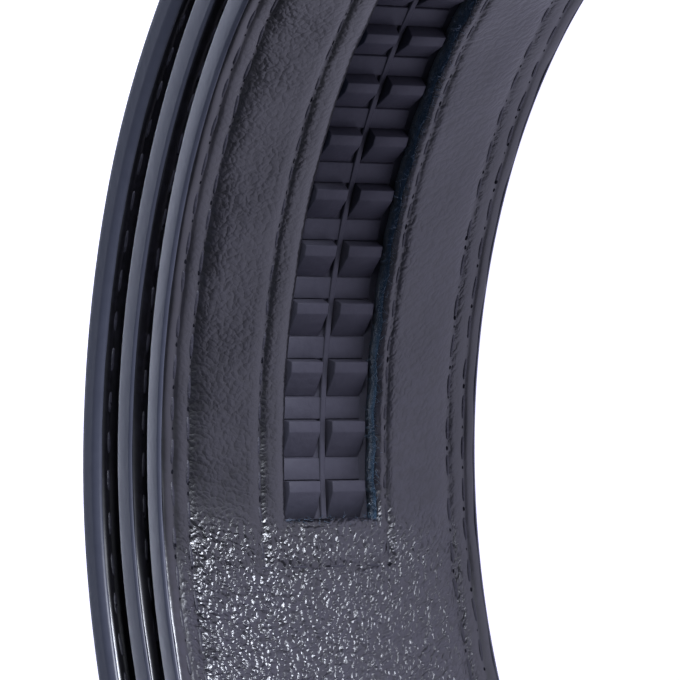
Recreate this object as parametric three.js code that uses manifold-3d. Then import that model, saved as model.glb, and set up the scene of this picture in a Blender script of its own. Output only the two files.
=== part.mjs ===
// A ratchet belt, rolled up loosely and lying on its side, in millimetres.
// +Z is up. The strap stands on its lower edge, the roll's axis is upright, and the
// origin is on the ground under the middle of the belt's box. The tip is innermost,
// and the strap goes round clockwise, seen from above, to the buckle on the outside.

import * as THREE from "three";
import Module from "manifold-3d";
import { mergeVertices } from "three/addons/utils/BufferGeometryUtils.js";

const wasm = await Module();
wasm.setup();

// Strap: two plies with a fine joint between them.
const strapWidth = 35;
const liningThickness = 1.2;
const faceThickness = 1.7;
const plyGap = 0.3;
const faceChamfer = 0.45;
const liningChamfer = 0.25;
const liningInset = 0.3;
const tipRadius = 8;

// Roll: the lining's radius in the innermost turn, and the air between loose turns.
const rollRadius = 54.2;
const looseGap = 4;

// Track: two columns of saw teeth on a base strip, seen through the lining's window.
const toothCount = 44;
const toothPitch = 5.94;
const toothHeight = 1.3;
const trackBase = 0.3;
const trackDepth = 2.1;
const trackStart = 49.8;
const upperColumnWidth = 3;
const lowerColumnWidth = 3.6;
const columnGap = 1.4;
const ribWidth = 0.7;
const ribHeight = 0.35;
const windowWidth = 10;
const windowMargin = 0.8;
const windowEndMargin = 0.3;
const windowFromUpperEdge = 13.6;
const trackFlange = 1.2;
const seatGap = 0.3;

// Buckle: one plain piece.
const buckleLength = 42;
const buckleWall = 1.4;
const bucklePlate = 2.2;
const buckleCornerRadius = 2.5;
const buckleSideWall = 1.5;
const buckleSideClearance = 0.5;
const throatHeight = 5;
const socketDepth = 12;
const socketWall = 3;
const leadLength = 7;

const strapThickness = liningThickness + plyGap + faceThickness;
const buckleHeight = strapWidth + 2 * (buckleSideWall + buckleSideClearance);
const strapStep = 5.3;
const cutterStep = 14;

// The strap's end is raised to the middle of the taller buckle, from this turn on.
const endLift = (buckleHeight - strapWidth) / 2;
const liftTurns = 2.15;

// The roll's course from the tip outward. The turns are counted from the far point
// (+Y), the layers are strap thicknesses lying inside, and the air is a share of
// looseGap.
const rollRows = [
  { turns: -0.167, layers: 0, air: 0 },
  { turns: 0.17, layers: 0, air: 0 },
  { turns: 0.34, layers: 0, air: 0.03 },
  { turns: 0.5, layers: 0, air: 0.17 },
  { turns: 0.67, layers: 0.45, air: 0.25 },
  { turns: 0.83, layers: 0.9, air: 0.5 },
  { turns: 0.93, layers: 1, air: 0.75 },
  { turns: 1, layers: 1, air: 0.92 },
  { turns: 1.12, layers: 1, air: 0.54 },
  { turns: 1.25, layers: 1, air: 0.38 },
  { turns: 1.4, layers: 1, air: 0.38 },
  { turns: 1.5, layers: 1, air: 0.52 },
  { turns: 1.67, layers: 1.5, air: 0.9 },
  { turns: 1.83, layers: 2, air: 1.55 },
  { turns: 1.94, layers: 2, air: 2.12 },
  { turns: 1.99, layers: 2, air: 2.28 },
  { turns: 2.06, layers: 2, air: 1.9 },
  { turns: 2.12, layers: 2, air: 1.28 },
  { turns: 2.2, layers: 2, air: 0.88 },
  { turns: 2.32, layers: 2, air: 1.1 },
  { turns: 2.5, layers: 2, air: 1.4 },
];

// Value of one column of a table at a place between its rows, along a smooth curve.
function smoothValue(rows, key, column, place) {
  const last = rows.length - 1;
  let i = 0;
  while (i < last - 1 && rows[i + 1][key] <= place) i += 1;
  const slopeAt = (k) => {
    if (k === 0 || k === last) return 0;
    return (rows[k + 1][column] - rows[k - 1][column]) / (rows[k + 1][key] - rows[k - 1][key]);
  };
  const span = rows[i + 1][key] - rows[i][key];
  const t = THREE.MathUtils.clamp((place - rows[i][key]) / span, 0, 1);
  const fromStart = (1 + 2 * t) * (1 - t) ** 2 * rows[i][column] + t * (1 - t) ** 2 * span * slopeAt(i);
  const fromEnd = t ** 2 * (3 - 2 * t) * rows[i + 1][column] + t ** 2 * (t - 1) * span * slopeAt(i + 1);
  return fromStart + fromEnd;
}

// The lining's surface line, as close points with the length run from the tip.
function makeCourse() {
  const pointsPerTurn = 720;
  const firstTurn = rollRows[0].turns;
  const lastTurn = rollRows[rollRows.length - 1].turns;
  const count = Math.ceil((lastTurn - firstTurn) * pointsPerTurn);
  const points = [];
  let run = 0;
  for (let i = 0; i <= count; i += 1) {
    const turns = firstTurn + ((lastTurn - firstTurn) * i) / count;
    const layers = smoothValue(rollRows, "turns", "layers", turns);
    const air = smoothValue(rollRows, "turns", "air", turns);
    const radius = rollRadius + layers * strapThickness + air * looseGap;
    const angle = 2 * Math.PI * turns;
    const point = new THREE.Vector2(radius * Math.sin(angle), radius * Math.cos(angle));
    if (i > 0) run += point.distanceTo(points[i - 1].point);
    points.push({ point, run, lift: endLift * THREE.MathUtils.smoothstep(turns, liftTurns, lastTurn) });
  }
  return points;
}

const course = makeCourse();
const rollLength = course[course.length - 1].run;
const rollEnd = course[course.length - 1].point;
const strapLength = rollLength + leadLength + socketDepth - seatGap;

// Place on the lining's surface at a length from the tip: the point, the direction
// away from the roll's middle and the lift. Past the roll the strap runs straight on.
function placeAt(length) {
  if (length >= rollLength) {
    const point = rollEnd.clone().add(new THREE.Vector2(rollLength - length, 0));
    return { point, outward: new THREE.Vector2(0, -1), lift: endLift };
  }
  let low = 0;
  let high = course.length - 1;
  while (high - low > 1) {
    const middle = Math.floor((low + high) / 2);
    if (course[middle].run <= length) low = middle;
    else high = middle;
  }
  const from = course[low];
  const to = course[low + 1];
  const share = (length - from.run) / (to.run - from.run);
  const along = to.point.clone().sub(from.point).normalize();
  return {
    point: from.point.clone().lerp(to.point, share),
    outward: new THREE.Vector2(-along.y, along.x),
    lift: THREE.MathUtils.lerp(from.lift, to.lift, share),
  };
}

// A ring of the section's corners at a length from the tip. A corner is given as its
// depth below the lining's surface and its height over the strap's lower edge.
function ringAt(length, corners) {
  const { point, outward, lift } = placeAt(length);
  return corners.map(([depth, height]) => {
    const place = point.clone().addScaledVector(outward, depth);
    return new THREE.Vector3(place.x, place.y, height + lift);
  });
}

// Closed body through rings of equal corner counts, with a flat cap at both ends.
function loftRings(rings) {
  const count = rings[0].length;
  const positions = rings.flatMap((ring) => ring.flatMap((corner) => corner.toArray()));
  const index = [];
  for (let r = 0; r < rings.length - 1; r += 1) {
    for (let c = 0; c < count; c += 1) {
      const a = r * count + c;
      const b = r * count + ((c + 1) % count);
      index.push(a, a + count, b, b, a + count, b + count);
    }
  }
  const lastRing = (rings.length - 1) * count;
  for (let c = 1; c < count - 1; c += 1) {
    index.push(0, c, c + 1);
    index.push(lastRing, lastRing + c + 1, lastRing + c);
  }
  const geometry = new THREE.BufferGeometry();
  geometry.setAttribute("position", new THREE.Float32BufferAttribute(positions, 3));
  geometry.setIndex(index);
  return geometry;
}

// Even lengths from start to end, about one step apart.
function evenLengths(start, end, step) {
  const count = Math.max(1, Math.round((end - start) / step));
  return Array.from({ length: count + 1 }, (_, i) => start + ((end - start) * i) / count);
}

// Rectangle of a section, from one depth to another and from one height to another.
function rectangle(depth0, depth1, height0, height1) {
  return [[depth0, height0], [depth0, height1], [depth1, height1], [depth1, height0]];
}

function sweepRectangle(start, end, step, corners) {
  return loftRings(evenLengths(start, end, step).map((length) => ringAt(length, corners)));
}

function toManifold(geometry) {
  const bare = geometry.clone();
  bare.deleteAttribute("normal");
  bare.deleteAttribute("uv");
  const merged = mergeVertices(bare, 1e-5);
  const mesh = new wasm.Mesh({
    numProp: 3,
    vertProperties: new Float32Array(merged.attributes.position.array),
    triVerts: new Uint32Array(merged.index.array),
  });
  mesh.merge();
  return new wasm.Manifold(mesh);
}

function toGeometry(manifold) {
  const mesh = manifold.getMesh();
  const geometry = new THREE.BufferGeometry();
  geometry.setAttribute("position", new THREE.Float32BufferAttribute(mesh.vertProperties, 3));
  geometry.setIndex(Array.from(mesh.triVerts));
  return geometry;
}

// Lengths of the strap's rings: close together round the tip's corners, then even.
function strapLengths() {
  const cornerSteps = 4;
  const corner = Array.from({ length: cornerSteps }, (_, i) => {
    return tipRadius * (1 - Math.cos((i * Math.PI) / (2 * cornerSteps)));
  });
  return [...corner, ...evenLengths(tipRadius, strapLength, strapStep)];
}

// How far the strap's edges draw in at the rounded tip.
function tipInset(length) {
  if (length >= tipRadius) return 0;
  return tipRadius - Math.sqrt(tipRadius ** 2 - (tipRadius - length) ** 2);
}

function makeLining() {
  const rings = strapLengths().map((length) => {
    const low = tipInset(length) + liningInset;
    const high = strapWidth - low;
    return ringAt(length, [
      [0, low + liningChamfer],
      [0, high - liningChamfer],
      [liningChamfer, high],
      [liningThickness, high],
      [liningThickness, low],
      [liningChamfer, low],
    ]);
  });
  const beyond = 3;
  const cutter = sweepRectangle(
    windowStart,
    windowEnd,
    cutterStep,
    rectangle(-beyond, liningThickness + beyond, windowLow, windowHigh),
  );
  return toGeometry(toManifold(loftRings(rings)).subtract(toManifold(cutter)));
}

function makeFace() {
  const inner = liningThickness + plyGap;
  const rings = strapLengths().map((length) => {
    const low = tipInset(length);
    const high = strapWidth - low;
    return ringAt(length, [
      [inner, low],
      [inner, high],
      [strapThickness - faceChamfer, high],
      [strapThickness, high - faceChamfer],
      [strapThickness, low + faceChamfer],
      [strapThickness - faceChamfer, low],
    ]);
  });
  const pocketFloor = trackDepth + trackBase + seatGap;
  const pocket = sweepRectangle(
    windowStart - trackFlange - seatGap,
    windowEnd + trackFlange + seatGap,
    strapStep,
    rectangle(
      inner - plyGap / 2,
      pocketFloor,
      windowLow - trackFlange - seatGap,
      windowHigh + trackFlange + seatGap,
    ),
  );
  return toGeometry(toManifold(loftRings(rings)).subtract(toManifold(pocket)));
}

// One column of teeth. From the tip, each tooth rises by a long slope to a flat crest,
// and drops by a steep face, where a catch would stop, to a flat floor.
function toothColumn(low, high) {
  const toothProfile = [
    { along: 0, rise: 0 },
    { along: 0.43, rise: 1 },
    { along: 0.61, rise: 1 },
    { along: 0.67, rise: 0 },
  ];
  const rootDepth = trackDepth + trackBase / 2;
  const rings = [];
  for (let tooth = 0; tooth < toothCount; tooth += 1) {
    for (const { along, rise } of toothProfile) {
      const length = trackStart + (tooth + along) * toothPitch;
      const top = trackDepth - Math.max(rise * toothHeight, 0.02);
      rings.push(ringAt(length, rectangle(top, rootDepth, low, high)));
    }
  }
  return loftRings(rings);
}

function makeTrack() {
  const base = sweepRectangle(
    windowStart - trackFlange,
    windowEnd + trackFlange,
    strapStep,
    rectangle(trackDepth, trackDepth + trackBase, windowLow - trackFlange, windowHigh + trackFlange),
  );
  const ribMiddle = upperColumnLow - columnGap / 2;
  const rib = sweepRectangle(
    trackStart,
    trackEnd,
    strapStep,
    rectangle(
      trackDepth - ribHeight,
      trackDepth + trackBase / 2,
      ribMiddle - ribWidth / 2,
      ribMiddle + ribWidth / 2,
    ),
  );
  const solid = toManifold(base)
    .add(toManifold(rib))
    .add(toManifold(toothColumn(upperColumnLow, upperColumnLow + upperColumnWidth)))
    .add(toManifold(toothColumn(lowerColumnLow, lowerColumnLow + lowerColumnWidth)));
  return toGeometry(solid);
}

// Block of the buckle with rounded corners in its front outline. The length runs from
// the buckle's strap end, and the depth is counted as in the strap.
function buckleBlock(length, depth0, depth1) {
  const outline = new THREE.Shape();
  const r = Math.min(buckleCornerRadius, length / 4);
  outline.moveTo(r, 0);
  outline.lineTo(length - r, 0);
  outline.absarc(length - r, r, r, -Math.PI / 2, 0, false);
  outline.lineTo(length, buckleHeight - r);
  outline.absarc(length - r, buckleHeight - r, r, 0, Math.PI / 2, false);
  outline.lineTo(r, buckleHeight);
  outline.absarc(r, buckleHeight - r, r, Math.PI / 2, Math.PI, false);
  outline.lineTo(0, r);
  outline.absarc(r, r, r, Math.PI, 1.5 * Math.PI, false);
  const block = new THREE.ExtrudeGeometry(outline, {
    depth: depth1 - depth0,
    bevelEnabled: false,
    curveSegments: 4,
  });
  block.rotateX(Math.PI / 2);
  block.rotateZ(Math.PI);
  block.translate(0, -depth1, 0);
  return block;
}

function buckleCut(length0, length1, depth0, depth1, sideWall) {
  const height = buckleHeight - 2 * sideWall;
  const cut = new THREE.BoxGeometry(length1 - length0, depth1 - depth0, height);
  cut.translate(-(length0 + length1) / 2, -(depth0 + depth1) / 2, buckleHeight / 2);
  return cut;
}

// The buckle: a flat sleeve with a throat right through it for the strap's tip, and at
// its strap end a lower socket that holds the strap's outer end.
function makeBuckle() {
  const over = 1;
  const socketInner = -seatGap;
  const socketOuter = strapThickness + seatGap;
  const throatInner = socketOuter + buckleWall;
  const throatOuter = throatInner + throatHeight;
  const socketLength = socketDepth + socketWall;
  const sleeve = buckleBlock(buckleLength, socketOuter, throatOuter + bucklePlate);
  const socket = buckleBlock(socketLength, socketInner - buckleWall, throatInner - buckleWall / 2);
  const throatCut = buckleCut(-over, buckleLength + over, throatInner, throatOuter, buckleSideWall);
  const socketCut = buckleCut(-over, socketDepth, socketInner, socketOuter, buckleSideWall);
  const solid = toManifold(sleeve)
    .add(toManifold(socket))
    .subtract(toManifold(throatCut))
    .subtract(toManifold(socketCut));
  const geometry = toGeometry(solid);
  geometry.translate(rollEnd.x - leadLength, rollEnd.y, 0);
  return geometry;
}

function addPiece(parent, name, geometry, color, roughness, metalness) {
  const material = new THREE.MeshStandardMaterial({ color, roughness, metalness });
  const mesh = new THREE.Mesh(geometry, material);
  mesh.name = name;
  parent.add(mesh);
}

// Places across and along the strap that several pieces share.
const windowHigh = strapWidth - windowFromUpperEdge;
const windowLow = windowHigh - windowWidth;
const lowerColumnLow = windowLow + windowMargin;
const upperColumnLow = lowerColumnLow + lowerColumnWidth + columnGap;
const trackEnd = trackStart + toothCount * toothPitch;
const windowStart = trackStart - windowEndMargin;
const windowEnd = trackEnd + windowEndMargin;

const belt = new THREE.Group();
addPiece(belt, "strap_face", makeFace(), 0x2c2c36, 0.55, 0);
addPiece(belt, "strap_lining", makeLining(), 0x3e3d49, 0.5, 0);
addPiece(belt, "ratchet_track", makeTrack(), 0x1c1d2a, 0.35, 0);
addPiece(belt, "buckle", makeBuckle(), 0x8f9196, 0.35, 0.9);

// The origin moves under the middle of the belt's box.
const box = new THREE.Box3().setFromObject(belt);
const middle = box.getCenter(new THREE.Vector3());
belt.position.set(-middle.x, -middle.y, 0);

export default belt;
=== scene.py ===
import math

import bmesh
import bpy
import numpy as np
from mathutils import Matrix, Vector


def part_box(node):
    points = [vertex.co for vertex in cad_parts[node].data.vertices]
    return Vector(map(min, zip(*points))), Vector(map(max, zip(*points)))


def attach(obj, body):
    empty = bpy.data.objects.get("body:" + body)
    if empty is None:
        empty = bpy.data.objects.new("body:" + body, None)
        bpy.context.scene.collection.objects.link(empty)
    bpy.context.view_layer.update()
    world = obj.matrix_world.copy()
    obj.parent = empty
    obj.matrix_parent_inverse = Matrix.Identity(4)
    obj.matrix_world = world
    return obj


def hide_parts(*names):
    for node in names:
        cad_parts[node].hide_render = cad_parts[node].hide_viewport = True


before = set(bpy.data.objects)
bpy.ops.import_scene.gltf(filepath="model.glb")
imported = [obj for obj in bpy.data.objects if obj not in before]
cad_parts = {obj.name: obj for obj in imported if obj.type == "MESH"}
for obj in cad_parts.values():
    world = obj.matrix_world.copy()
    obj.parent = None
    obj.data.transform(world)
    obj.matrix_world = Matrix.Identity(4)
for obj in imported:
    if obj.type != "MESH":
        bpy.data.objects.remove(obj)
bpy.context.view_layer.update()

mm = 0.001

# The belt lies on its side, rolled up loosely. Sizes are in millimetres. Lengths run
# along the strap from its tip, depths go from the lining's surface outward, heights
# go up from the strap's lower edge.
strap = {
    "width": 35.0,
    "thickness": 3.2,
    "rollRadius": 54.2,
    "looseGap": 4.0,
    "tipRadius": 8.0,
    "leadLength": 7.0,
    "socketDepth": 11.7,
    "buckleHeight": 39.0,
    "liftTurns": 2.15,
    "inset": 0.3,          # leather edge under the painted film
    "cornersEnd": 8.6,     # from the tip, where the even rows of points start
    "backShift": 4,        # cm in the UV, so that a ply's back has a grain of its own
    "coursePoints": 2400,
}

# Turns from the far point, strap layers inside, and air as a share of the loose gap.
rollRows = [
    (-0.167, 0, 0), (0.17, 0, 0), (0.34, 0, 0.03), (0.5, 0, 0.17), (0.67, 0.45, 0.25),
    (0.83, 0.9, 0.5), (0.93, 1, 0.75), (1, 1, 0.92), (1.12, 1, 0.54), (1.25, 1, 0.38),
    (1.4, 1, 0.38), (1.5, 1, 0.52), (1.67, 1.5, 0.9), (1.83, 2, 1.55), (1.94, 2, 2.12),
    (1.99, 2, 2.28), (2.06, 2, 1.9), (2.12, 2, 1.28), (2.2, 2, 0.88), (2.32, 2, 1.1),
    (2.5, 2, 1.4),
]

track = {
    "start": 49.8,
    "teeth": 44,
    "pitch": 5.94,
    "floorDepth": 2.3,
    "toothHeight": 1.45,
    "slopeEnd": 0.43,      # shares of the pitch
    "crestEnd": 0.61,
    "crestFoot": 0.63,
    "barStart": 0.635,
    "barHeight": 0.14,
    "footDepth": 0.25,     # how far teeth and bars reach into the base
    "toothRound": 0.1,
    "upperColumn": (17.15, 20.6),
    "lowerColumn": (12.15, 15.85),
    "bar": (12.15, 20.9),
    "rib": (16.0, 16.6),
    "ribHeight": 0.26,
    "grooveDepth": 0.15,   # below the teeth's feet
    "baseThickness": 0.17,
    "baseMargin": 1.0,     # under the leather all round the window
    "ribPast": 0.4,        # past the first and last teeth
    "ribRound": 0.08,
    "ribFoot": 0.05,       # into the base
    "step": 1.2,
}

window = {
    "low": 11.4,
    "high": 21.4,
    "endMargin": 0.3,
    "rowLow": 10.35,       # stitched rectangle round the window
    "rowHigh": 24.2,
    "rowStart": 45.0,
    "rowDepth": 0.2,
    "rowWidth": 0.36,
    "rowPast": 0.5,        # how far the sunken line runs on at the corners
    "rowEndPast": 0.3,
    "stitchPitch": 3.4,
    # waves of the hand-cut edge: height in mm, turn per mm, share of the seed
    "waver": [(0.07, 1.07, 1), (0.05, 2.6, 2), (0.05, 5.3, 3)],
    "lowSeed": 0.7,
    "highSeed": 2.1,
    "highShare": 0.25,     # the upper edge is cut straighter
    "backShare": 0.5,
}

seam = {
    "rows": (1.5, 3.2),    # from each edge
    "pitch": 4.1,
    "grooveDepth": 0.12,
    "grooveWidth": 0.34,
    "start": 9.5,          # from the tip
    "endMargin": 13,       # before the buckle's socket
}


def smooth(rows, column, place):
    # the column's value at a place between rows, on a smooth curve through them
    last = len(rows) - 1

    def slope(k):
        if k in (0, last):
            return 0
        return (rows[k + 1][column] - rows[k - 1][column]) / (rows[k + 1][0] - rows[k - 1][0])

    i = 0
    while i < last - 1 and rows[i + 1][0] <= place:
        i += 1
    span = rows[i + 1][0] - rows[i][0]
    t = min(max((place - rows[i][0]) / span, 0), 1)
    fromStart = (1 + 2 * t) * (1 - t) ** 2 * rows[i][column] + t * (1 - t) ** 2 * span * slope(i)
    fromEnd = t * t * (3 - 2 * t) * rows[i + 1][column] + t * t * (t - 1) * span * slope(i + 1)
    return fromStart + fromEnd


def makeCourse():
    # close points of the lining's surface line, seen from above, with the length run
    first, last = rollRows[0][0], rollRows[-1][0]
    turns = np.linspace(first, last, strap["coursePoints"])
    radius = np.array([
        strap["rollRadius"] + smooth(rollRows, 1, t) * strap["thickness"]
        + smooth(rollRows, 2, t) * strap["looseGap"] for t in turns
    ])
    x = radius * np.sin(2 * np.pi * turns)
    y = radius * np.cos(2 * np.pi * turns)
    run = np.concatenate([[0], np.cumsum(np.hypot(np.diff(x), np.diff(y)))])
    rise = np.clip((turns - strap["liftTurns"]) / (last - strap["liftTurns"]), 0, 1)
    lift = rise ** 2 * (3 - 2 * rise) * (strap["buckleHeight"] - strap["width"]) / 2
    straight = strap["leadLength"] + strap["socketDepth"]
    x = np.append(x, x[-1] - straight)
    y = np.append(y, y[-1])
    run = np.append(run, run[-1] + straight)
    lift = np.append(lift, lift[-1])
    turns = np.append(turns, last)
    along = np.stack([np.gradient(x, run), np.gradient(y, run)], axis=1)
    along[-2:] = (-1, 0)
    along /= np.linalg.norm(along, axis=1)[:, None]
    return {"run": run, "x": x, "y": y, "lift": lift, "along": along, "turns": turns}


course = makeCourse()
strapLength = course["run"][-1]
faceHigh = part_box("strap_face")[1]
# the roll's middle in the belt's frame, from where the outermost leather reaches
rollMiddle = Vector((
    faceHigh[0] / mm - (course["x"] - strap["thickness"] * course["along"][:, 1]).max(),
    faceHigh[1] / mm - (course["y"] + strap["thickness"] * course["along"][:, 0]).max(),
))


def frameAt(length):
    x, y, lift = (np.interp(length, course["run"], course[key]) for key in ("x", "y", "lift"))
    ax = np.interp(length, course["run"], course["along"][:, 0])
    ay = np.interp(length, course["run"], course["along"][:, 1])
    size = math.hypot(ax, ay)
    along = Vector((ax / size, ay / size, 0))
    outward = Vector((-along.y, along.x, 0))
    point = Vector((x + rollMiddle.x, y + rollMiddle.y, lift))
    if length > strapLength:
        point += along * (length - strapLength)
    if length < 0:
        point += along * length
    return point, along, outward


def strapPoint(length, depth, height):
    point, along, outward = frameAt(length)
    return (point + outward * depth + Vector((0, 0, height))) * mm


def tipInset(length):
    # how far the edges draw in at the rounded tip
    r = strap["tipRadius"]
    return r - math.sqrt(max(r * r - (r - length) ** 2, 0)) if length < r else 0


def bump(distance, width):
    return math.exp(-((distance / width) ** 2))


def ease(value):
    value = min(max(value, 0), 1)
    return value * value * (3 - 2 * value)


def evenly(start, end, step):
    return np.linspace(start, end, max(2, round((end - start) / step) + 1))


def newObject(name, mesh):
    piece = bpy.data.objects.new(name, mesh)
    bpy.context.scene.collection.objects.link(piece)
    return piece


def meshPiece(name, vertices, faces, uvs=None, marks=None):
    mesh = bpy.data.meshes.new(name)
    mesh.from_pydata(vertices, [], faces)
    if uvs is not None:
        layer = mesh.uv_layers.new(name="strapUv")
        corners = np.empty(len(mesh.loops), dtype=np.int64)
        mesh.loops.foreach_get("vertex_index", corners)
        layer.data.foreach_set("uv", np.asarray(uvs)[corners].ravel())
    for key, values in (marks or {}).items():
        mesh.attributes.new(key, "FLOAT", "POINT").data.foreach_set("value", values)
    mesh.shade_smooth()
    return newObject(name, mesh)


def linear(hexColor):
    # sRGB hex to linear red, green, blue, alpha
    parts = [int(hexColor[i:i + 2], 16) / 255 for i in (1, 3, 5)]
    return (*[p / 12.92 if p <= 0.04045 else ((p + 0.055) / 1.055) ** 2.4 for p in parts], 1)


def addNode(tree, kind, inputs=None, **settings):
    node = tree.nodes.new(kind)
    for key, value in settings.items():
        setattr(node, key, value)
    for key, value in (inputs or {}).items():
        if isinstance(value, bpy.types.NodeSocket):
            tree.links.new(value, node.inputs[key])
        else:
            node.inputs[key].default_value = value
    return node


def compute(tree, operation, *values):
    node = addNode(tree, "ShaderNodeMath", dict(enumerate(values)), operation=operation)
    return node.outputs[0]


def vectors(tree, operation, *values):
    node = addNode(tree, "ShaderNodeVectorMath", dict(enumerate(values)), operation=operation)
    return node.outputs[0]


def scaled(tree, vector, factor):
    node = addNode(tree, "ShaderNodeVectorMath", {0: vector, "Scale": factor}, operation="SCALE")
    return node.outputs[0]


def mapped(tree, value, given, wanted, **settings):
    # value from one range to another, both (from, to)
    inputs = {"Value": value, "From Min": given[0], "From Max": given[1],
              "To Min": wanted[0], "To Max": wanted[1]}
    return addNode(tree, "ShaderNodeMapRange", inputs, **settings).outputs[0]


def noise(tree, place, scale, **settings):
    inputs = {"Vector": place, "Scale": scale, **settings}
    return addNode(tree, "ShaderNodeTexNoise", inputs).outputs


def mixed(tree, share, dark, light):
    node = addNode(tree, "ShaderNodeMix", {"Factor": share, "A": linear(dark), "B": linear(light)},
                   data_type="RGBA")
    return node.outputs["Result"]


def mark(tree, name):
    # a number kept on the mesh's points, such as the grain's depth
    return addNode(tree, "ShaderNodeAttribute", attribute_name=name).outputs["Fac"]


def newMaterial(name):
    material = bpy.data.materials.new(name)
    material.use_nodes = True
    tree = material.node_tree
    return material, tree, tree.nodes["Principled BSDF"]


# Drum-dyed cow leather, pebbled and lightly glazed: a dark violet-navy whose grain
# catches small sharp glints. The strap's UV counts in centimetres along and across.
leather = {
    "valley": "#0f0e14",
    "pebble": "#201f29",
    "paintedShadeLeft": 0.3,      # share of the colour left where the painted shade is full
    "roughness": 0.33,
    "specular": 0.85,
    "pebbleSize": 0.42,    # mm along the strap
    "pebbleHeight": 0.18,
    "foldGap": 1.0,
    "foldHeight": 0.38,
    "fineSize": 0.22,
    "fineHeight": 0.02,
    "sag": 0.18,           # how much the grain's rows bow towards the tip, per cm
    "sagMiddle": 2.7,      # cm from the lower edge
    "pebbleAcross": 0.8,   # under 1 draws the pattern out across the strap
    "foldAcross": 0.5,
    "drift": 0.1,          # cm that the rows wander
    "driftScale": 9.0,
    "blotchScale": 1.1,    # soft cloudiness of the dye
    "ior": 1.48,
    "faceTint": "#33333e",
}


def makeLeather(name, pebbleTint):
    material, tree, shader = newMaterial(name)
    uv = addNode(tree, "ShaderNodeUVMap", uv_map="strapUv").outputs["UV"]
    wander = noise(tree, uv, leather["driftScale"], Detail=4.0)["Color"]
    drift = vectors(tree, "SUBTRACT", wander, (0.5, 0.5, 0.5))
    bent = vectors(tree, "ADD", uv, scaled(tree, drift, leather["drift"]))
    parts = addNode(tree, "ShaderNodeSeparateXYZ", {0: bent}).outputs
    side = compute(tree, "SUBTRACT", parts["Y"], leather["sagMiddle"])
    bow = compute(tree, "POWER", side, 2.0)
    along = compute(tree, "MULTIPLY_ADD", bow, -leather["sag"], parts["X"])
    rows = addNode(tree, "ShaderNodeCombineXYZ", {"X": along, "Y": parts["Y"]}).outputs[0]

    def stretched(across):
        return vectors(tree, "MULTIPLY", rows, (1.0, across, 1.0))

    pebbles = {"Vector": stretched(leather["pebbleAcross"]), "Scale": 10 / leather["pebbleSize"]}
    cells = addNode(tree, "ShaderNodeTexVoronoi", pebbles, feature="F1")
    dome = compute(tree, "POWER", cells.outputs["Distance"], 2.0)
    folds = noise(tree, stretched(leather["foldAcross"]), 10 / leather["foldGap"], Detail=2.0,
                  Roughness=0.55)[0]
    fine = noise(tree, bent, 10 / leather["fineSize"], Detail=1.0)[0]
    # a pebble's border lies about 0.6 from its middle, and the noises span about 0.4
    rise = compute(tree, "MULTIPLY", dome, -leather["pebbleHeight"] / 0.36)
    rise = compute(tree, "MULTIPLY_ADD", folds, leather["foldHeight"] * 2.5, rise)
    rise = compute(tree, "MULTIPLY_ADD", fine, leather["fineHeight"] * 2.5, rise)
    dents = addNode(tree, "ShaderNodeBump",
                    {"Height": rise, "Strength": mark(tree, "grainDepth"), "Distance": mm})
    grain = mapped(tree, rise, (0.2, 0.5), (0.0, 1.0))
    cloud = noise(tree, uv, leather["blotchScale"], Detail=2.0)[0]
    blotch = mapped(tree, cloud, (0.3, 0.7), (0.5, 0.8))
    color = mixed(tree, compute(tree, "MULTIPLY", grain, blotch), leather["valley"], pebbleTint)
    # the colour darkened by painted shade: in the grooves, on the lower border, over the upper pad
    # and on the covered turns
    left = mapped(tree, mark(tree, "stain"), (0.0, 1.0), (1.0, leather["paintedShadeLeft"]))
    tree.links.new(scaled(tree, color, left), shader.inputs["Base Color"])
    tree.links.new(dents.outputs[0], shader.inputs["Normal"])
    shader.inputs["Roughness"].default_value = leather["roughness"]
    shader.inputs["IOR"].default_value = leather["ior"]
    shader.inputs["Specular IOR Level"].default_value = leather["specular"]
    return material


def objectPlace(tree):
    # places fixed to the belt, in metres
    return addNode(tree, "ShaderNodeTexCoord").outputs["Object"]


def twoTone(tree, shader, share, dark, light):
    tree.links.new(mixed(tree, share, dark, light), shader.inputs["Base Color"])


def dented(tree, shader, height, depth):
    dents = addNode(tree, "ShaderNodeBump", {"Height": height, "Distance": depth * mm})
    tree.links.new(dents.outputs[0], shader.inputs["Normal"])


def roughBetween(tree, shader, share, smoothest, roughest):
    rough = mapped(tree, share, (0.0, 1.0), (smoothest, roughest))
    tree.links.new(rough, shader.inputs["Roughness"])


# Acrylic edge paint, rolled on in coats: a satin blue-grey film with faint ripples.
def makeEdgePaint():
    material, tree, shader = newMaterial("satinEdgePaint")
    ripple = noise(tree, objectPlace(tree), 700.0, Detail=3.0)[0]
    twoTone(tree, shader, ripple, "#3a3c48", "#464854")
    dented(tree, shader, ripple, 0.03)
    shader.inputs["Roughness"].default_value = 0.42
    return material


# Moulded nylon, dark navy: satin, with the mould's fine texture.
def makeNylon():
    material, tree, shader = newMaterial("mouldedNylon")
    mottle = noise(tree, objectPlace(tree), 1400.0, Detail=4.0)[0]
    twoTone(tree, shader, mottle, "#3a3941", "#46454d")
    dented(tree, shader, mottle, 0.05)
    roughBetween(tree, shader, mottle, 0.42, 0.58)
    shader.inputs["Specular IOR Level"].default_value = 0.17
    return material


# Bonded polyester thread, black, with a slight waxed gloss.
def makeThread():
    material, tree, shader = newMaterial("bondedThread")
    twist = noise(tree, objectPlace(tree), 2600.0, Detail=2.0)[0]
    twoTone(tree, shader, twist, "#101017", "#2c2b36")
    dented(tree, shader, twist, 0.08)
    shader.inputs["Roughness"].default_value = 0.55
    return material


# Needle holes: dull black, the painted shade inside the pits, on small pieces set into them.
def makeHoleShade():
    material, tree, shader = newMaterial("needleHoleBlack")
    dust = noise(tree, objectPlace(tree), 3000.0)[0]
    twoTone(tree, shader, dust, "#08080c", "#14141b")
    shader.inputs["Roughness"].default_value = 0.9
    shader.inputs["Specular IOR Level"].default_value = 0.1
    return material


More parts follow.
